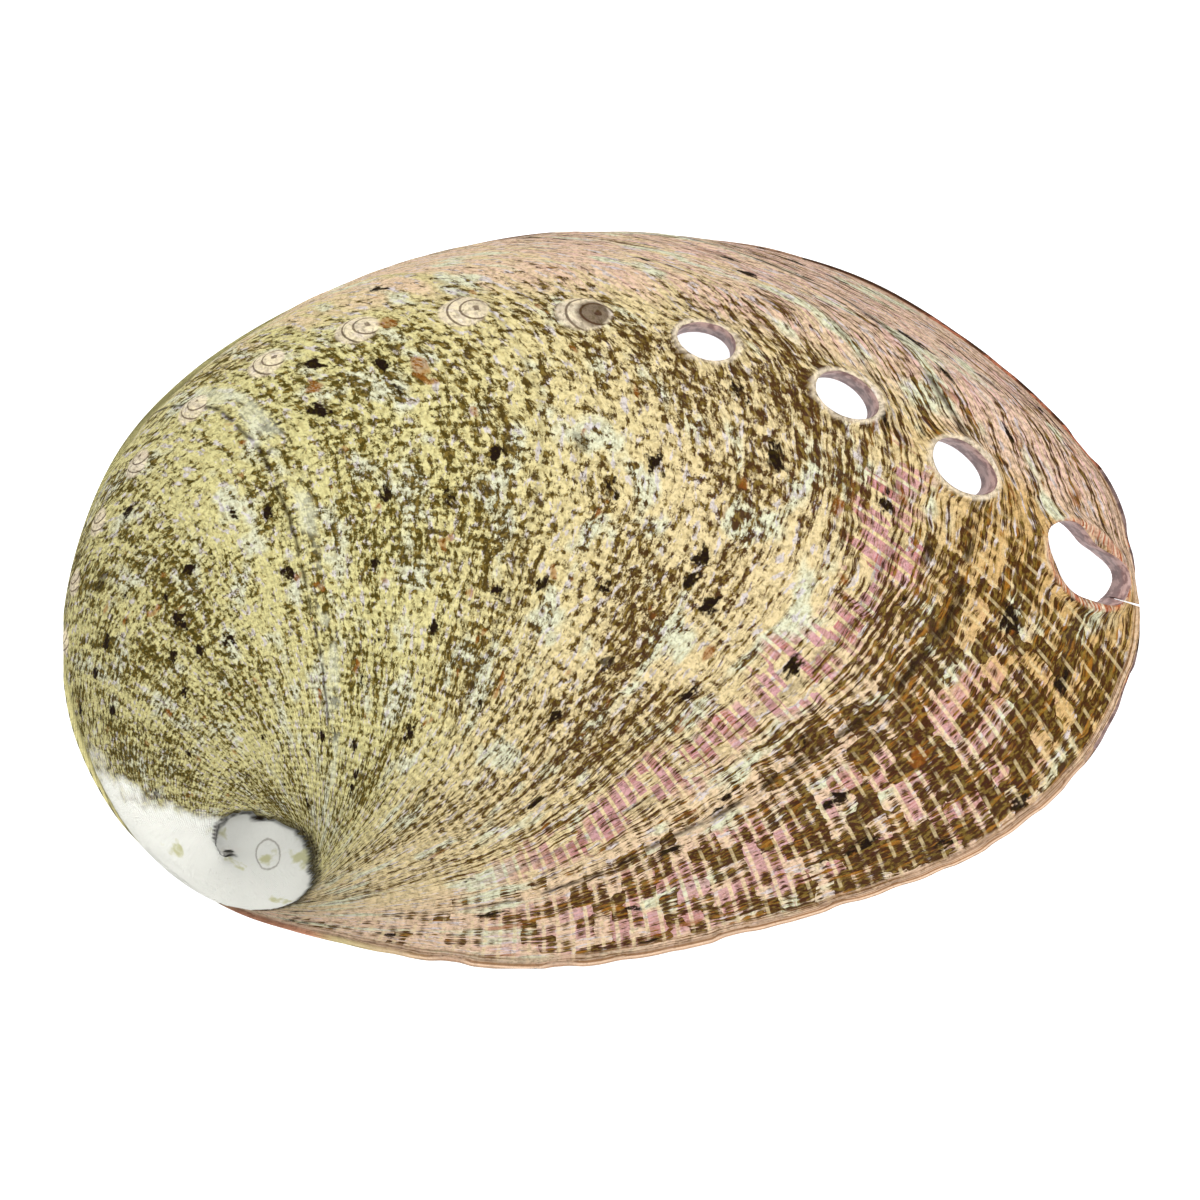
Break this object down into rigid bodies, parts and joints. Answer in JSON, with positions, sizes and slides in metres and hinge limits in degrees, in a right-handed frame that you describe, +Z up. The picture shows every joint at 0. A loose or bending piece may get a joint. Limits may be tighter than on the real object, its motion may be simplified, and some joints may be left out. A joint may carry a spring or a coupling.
{
  "type": "abalone shell",
  "caption": "Empty ear-shaped abalone shell, domed side up, with a low spire, a broad bowl and a row of breathing holes.",
  "frame": {"origin": "under the middle of the shell, in the plane of the rim that it rests on", "axes": "+X along the length towards the open holes, +Y across towards the row of holes, +Z up out of the domed side"},
  "size_m": [0.1497, 0.1025, 0.0306],
  "materials": {
    "shell": "weathered chalky outside, mottled olive, brown, cream and mauve; smooth pearly inside"
  },
  "bodies": {
    "root": {"shell": "shell"}
  },
  "joints": []
}
